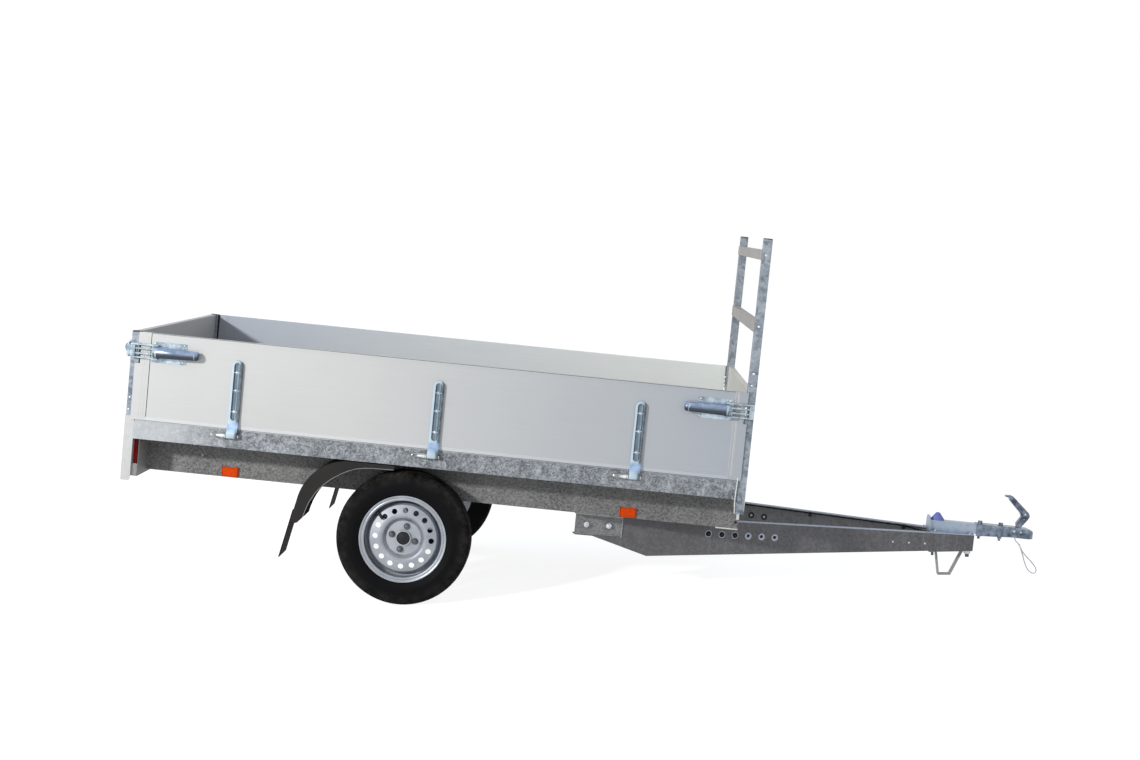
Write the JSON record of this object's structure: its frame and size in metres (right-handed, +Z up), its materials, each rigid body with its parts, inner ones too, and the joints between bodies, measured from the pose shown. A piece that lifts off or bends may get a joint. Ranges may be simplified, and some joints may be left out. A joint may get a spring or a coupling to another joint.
{
  "type": "utility trailer",
  "caption": "Single-axle drop-side utility trailer with a front ladder rack, V drawbar, ball coupling head, mudguards and side boards and tailgate that fold down.",
  "frame": {"origin": "centre of the parked trailer's plan outline, on the ground", "axes": "+X forward towards the coupling, +Y to the trailer's left, +Z up; the trailer leans nose-down on its foot"},
  "size_m": [3.9546, 1.6524, 1.5243],
  "materials": {
    "galvanised": "hot-dip galvanised steel",
    "aluminium": "matte anodised aluminium",
    "zinc_plating": "blue zinc-plated steel",
    "wheel_silver": "silver paint",
    "tyre": "black rubber",
    "black_plastic": "dark textured plastic",
    "flap_rubber": "matte black rubber",
    "lamp_red": "red lens",
    "reflector_amber": "amber reflector",
    "plug_blue": "blue plastic",
    "floor_plywood": "phenolic film plywood",
    "cable_wire": "galvanised wire rope",
    "ferrule_metal": "pressed aluminium"
  },
  "bodies": {
    "chassis": {"side_rail_left": "galvanised", "side_rail_right": "galvanised", "frame_beam_left": "galvanised", "frame_beam_right": "galvanised", "rear_post_left": "galvanised", "rear_post_right": "galvanised", "rack_post_left": "galvanised", "rack_post_right": "galvanised", "tail_lamp_left": "lamp_red", "tail_lamp_right": "lamp_red", "drawbar_beam_left": "galvanised", "drawbar_beam_right": "galvanised", "drawbar_bracket_left": "galvanised", "drawbar_bracket_right": "galvanised", "mudguard_left": "black_plastic", "mudguard_right": "black_plastic", "mud_flap_left": "flap_rubber", "mud_flap_right": "flap_rubber", "swing_arm_left": "galvanised", "swing_arm_right": "galvanised", "cross_members": "galvanised", "rear_rail": "galvanised", "front_rail": "galvanised", "floor_panel": "floor_plywood", "front_board": "aluminium", "post_caps": "black_plastic", "rack_bar_upper": "galvanised", "rack_bar_lower": "galvanised", "lamp_board": "galvanised", "side_reflectors": "reflector_amber", "axle_beam": "galvanised", "front_spacer": "galvanised", "nose_plate": "galvanised", "support_foot": "galvanised", "coupling_tube": "galvanised", "coupling_head": "zinc_plating", "coupling_handle": "zinc_plating", "plug": "plug_blue", "lighting_cable": "black_plastic", "safety_cable": "cable_wire", "cable_ferrule": "ferrule_metal"},
    "side_board_left": {"side_board_left": "aluminium", "hinge_straps_left": "zinc_plating", "latches_left": "zinc_plating"},
    "side_board_right": {"side_board_right": "aluminium", "hinge_straps_right": "zinc_plating", "latches_right": "zinc_plating"},
    "tailgate": {"tailgate_board": "aluminium", "tailgate_straps": "zinc_plating", "tailgate_latches": "zinc_plating"},
    "wheel_left": {"tyre_left": "tyre", "rim_left": "wheel_silver", "hub_left": "zinc_plating", "hub_cap_left": "black_plastic"},
    "wheel_right": {"tyre_right": "tyre", "rim_right": "wheel_silver", "hub_right": "zinc_plating", "hub_cap_right": "black_plastic"}
  },
  "joints": [
    {"name": "wheel_left", "type": "hinge", "parent": "chassis", "child": "wheel_left", "pos_m": [-0.79629, 0.69, 0.281], "axis": [0, 1, 0], "continuous": true},
    {"name": "wheel_right", "type": "hinge", "parent": "chassis", "child": "wheel_right", "pos_m": [-0.79629, -0.69, 0.281], "axis": [0, 1, 0], "continuous": true},
    {"name": "side_board_left", "type": "hinge", "parent": "chassis", "child": "side_board_left", "pos_m": [-0.66534, 0.791, 0.62953], "axis": [-0.9949, 0, 0.1012], "range_deg": [0, 180]},
    {"name": "side_board_right", "type": "hinge", "parent": "chassis", "child": "side_board_right", "pos_m": [-0.66534, -0.791, 0.62953], "axis": [0.9949, 0, -0.1012], "range_deg": [0, 180]},
    {"name": "tailgate", "type": "hinge", "parent": "chassis", "child": "tailgate", "pos_m": [-1.95965, 0, 0.76123], "axis": [0, -1, 0], "range_deg": [0, 180]}
  ]
}
